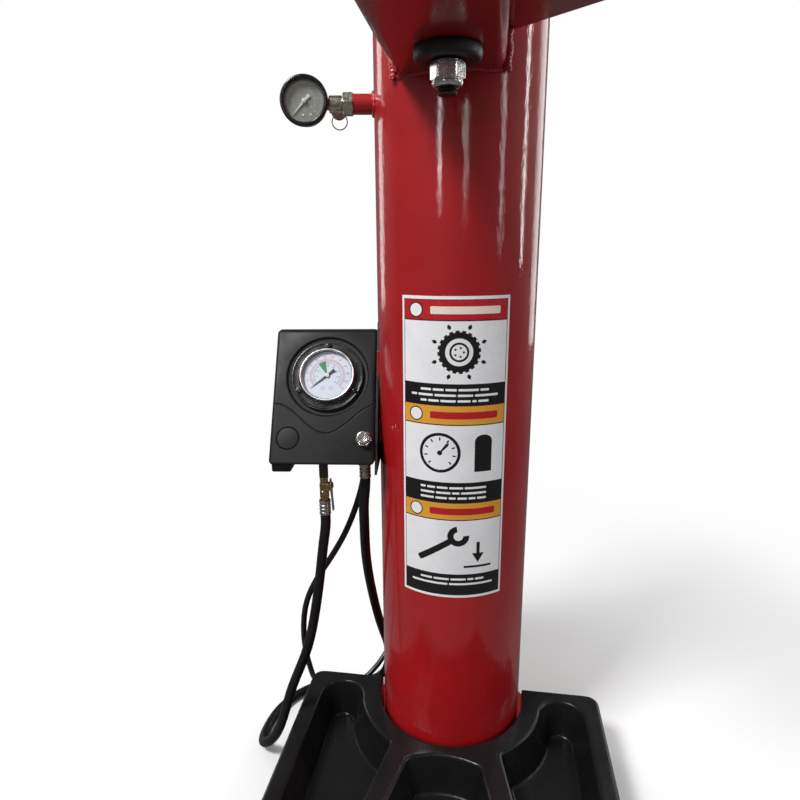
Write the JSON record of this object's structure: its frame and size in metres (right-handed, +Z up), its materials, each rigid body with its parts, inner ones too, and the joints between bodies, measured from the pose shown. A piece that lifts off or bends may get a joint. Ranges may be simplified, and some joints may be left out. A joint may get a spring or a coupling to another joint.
{
  "type": "bead seater blaster tank",
  "caption": "Upright blast air tank column with arm bracket, two pressure gauges, ring-pull relief valve, sloping inflation console, chuck hose and tool tray.",
  "frame": {"origin": "tank axis at the underside of the base flange", "axes": "+Z up along the tank axis, front of the tank (safety label, arm bracket) towards -Y, gauges and console towards -X"},
  "size_m": [0.4299, 0.461, 0.888],
  "materials": {
    "red_paint": "gloss",
    "black_steel": "satin",
    "black_rubber": "matt",
    "black_tube": "satin",
    "zinc_steel": "bright zinc plate",
    "chrome_nut": "polished",
    "nylon": "natural nylon",
    "label_film": "laminated film",
    "copper_alloy": "turned",
    "brass": "turned",
    "steel_pipe": "drawn",
    "spring_steel": "bright wire",
    "black_gauge": "satin black",
    "clear_lens": "clear",
    "dark_dial": "matt, dark grey with pale marks",
    "white_dial": "matt, white with printed scales",
    "pale_pointer": "matt",
    "black_pointer": "matt",
    "console_plastic": "fine moulded texture",
    "tray_plastic": "moulded, soft sheen"
  },
  "bodies": {
    "tank": {"air_sockets": "red_paint", "arm_bracket": "red_paint", "base_flange": "red_paint", "blank_plug": "console_plastic", "bolt_washer": "zinc_steel", "bottom_head": "red_paint", "button_nut": "chrome_nut", "button_spring": "spring_steel", "capillary_line": "copper_alloy", "chuck_body": "brass", "console_back_plate": "console_plastic", "console_bracket": "black_steel", "console_cover": "console_plastic", "console_gauge_bezel": "chrome_nut", "console_gauge_case": "black_gauge", "console_gauge_dial": "white_dial", "console_gauge_lens": "clear_lens", "console_gauge_movement": "brass", "console_screws": "zinc_steel", "crimp_ferrule": "zinc_steel", "deck_plate": "red_paint", "drain_cock": "brass", "drain_pipe": "steel_pipe", "gauge_nipple": "red_paint", "gauge_screws": "black_gauge", "gauge_tee": "chrome_nut", "hose_fitting": "zinc_steel", "inflation_hose": "black_rubber", "lever_pin": "zinc_steel", "lock_nut": "chrome_nut", "nut_insert": "nylon", "park_stub": "black_rubber", "pivot_bolt": "black_steel", "rubber_washer": "black_rubber", "safety_label": "label_film", "safety_valve_body": "copper_alloy", "safety_valve_spring": "spring_steel", "spacer_sleeve": "zinc_steel", "supply_tube": "black_tube", "tank_gauge_bezel": "black_gauge", "tank_gauge_case": "black_gauge", "tank_gauge_dial": "dark_dial", "tank_gauge_lens": "clear_lens", "tank_gauge_movement": "brass", "tank_shell": "red_paint", "tool_tray": "tray_plastic", "top_head": "red_paint", "tube_fittings": "brass", "valve_manifold": "brass", "weld_beads": "red_paint"},
    "tank_pointer": {"tank_gauge_pointer": "pale_pointer"},
    "console_pointer": {"console_gauge_pointer": "black_pointer"},
    "deflate_button": {"deflate_button": "chrome_nut"},
    "relief_stem": {"safety_valve_stem": "brass"},
    "relief_ring": {"pull_ring": "spring_steel"},
    "chuck_lever": {"chuck_lever": "zinc_steel"},
    "drain_lever": {"drain_lever": "zinc_steel"}
  },
  "joints": [
    {"name": "tank_pointer_turn", "type": "hinge", "parent": "tank", "child": "tank_pointer", "pos_m": [-0.1494, -0.02634, 0.7565], "axis": [-0.1736, 0.9848, 0], "range_deg": [0, 270]},
    {"name": "console_pointer_turn", "type": "hinge", "parent": "tank", "child": "console_pointer", "pos_m": [-0.13941, -0.02132, 0.48083], "axis": [-0.0905, 0.8613, -0.5], "range_deg": [0, 262]},
    {"name": "deflate_press", "type": "slide", "parent": "tank", "child": "deflate_button", "axis": [-0.0905, 0.8613, -0.5], "range_m": [0, 0.0035], "deforming": ["button_spring"]},
    {"name": "relief_pull", "type": "slide", "parent": "tank", "child": "relief_stem", "axis": [-0.1736, 0.9848, 0], "range_m": [0, 0.003], "deforming": ["safety_valve_spring"]},
    {"name": "relief_ring_swing", "type": "hinge", "parent": "relief_stem", "child": "relief_ring", "pos_m": [-0.12683, 0.0213, 0.755], "axis": [0.9848, 0.1736, 0], "range_deg": [-35, 90]},
    {"name": "chuck_lever_press", "type": "hinge", "parent": "tank", "child": "chuck_lever", "pos_m": [-0.1329, -0.05, 0.362], "axis": [0, 1, 0], "range_deg": [0, 3]},
    {"name": "drain_lever_turn", "type": "hinge", "parent": "tank", "child": "drain_lever", "pos_m": [0, 0.104, 0.022], "axis": [0, 0, 1], "range_deg": [0, 90]}
  ]
}
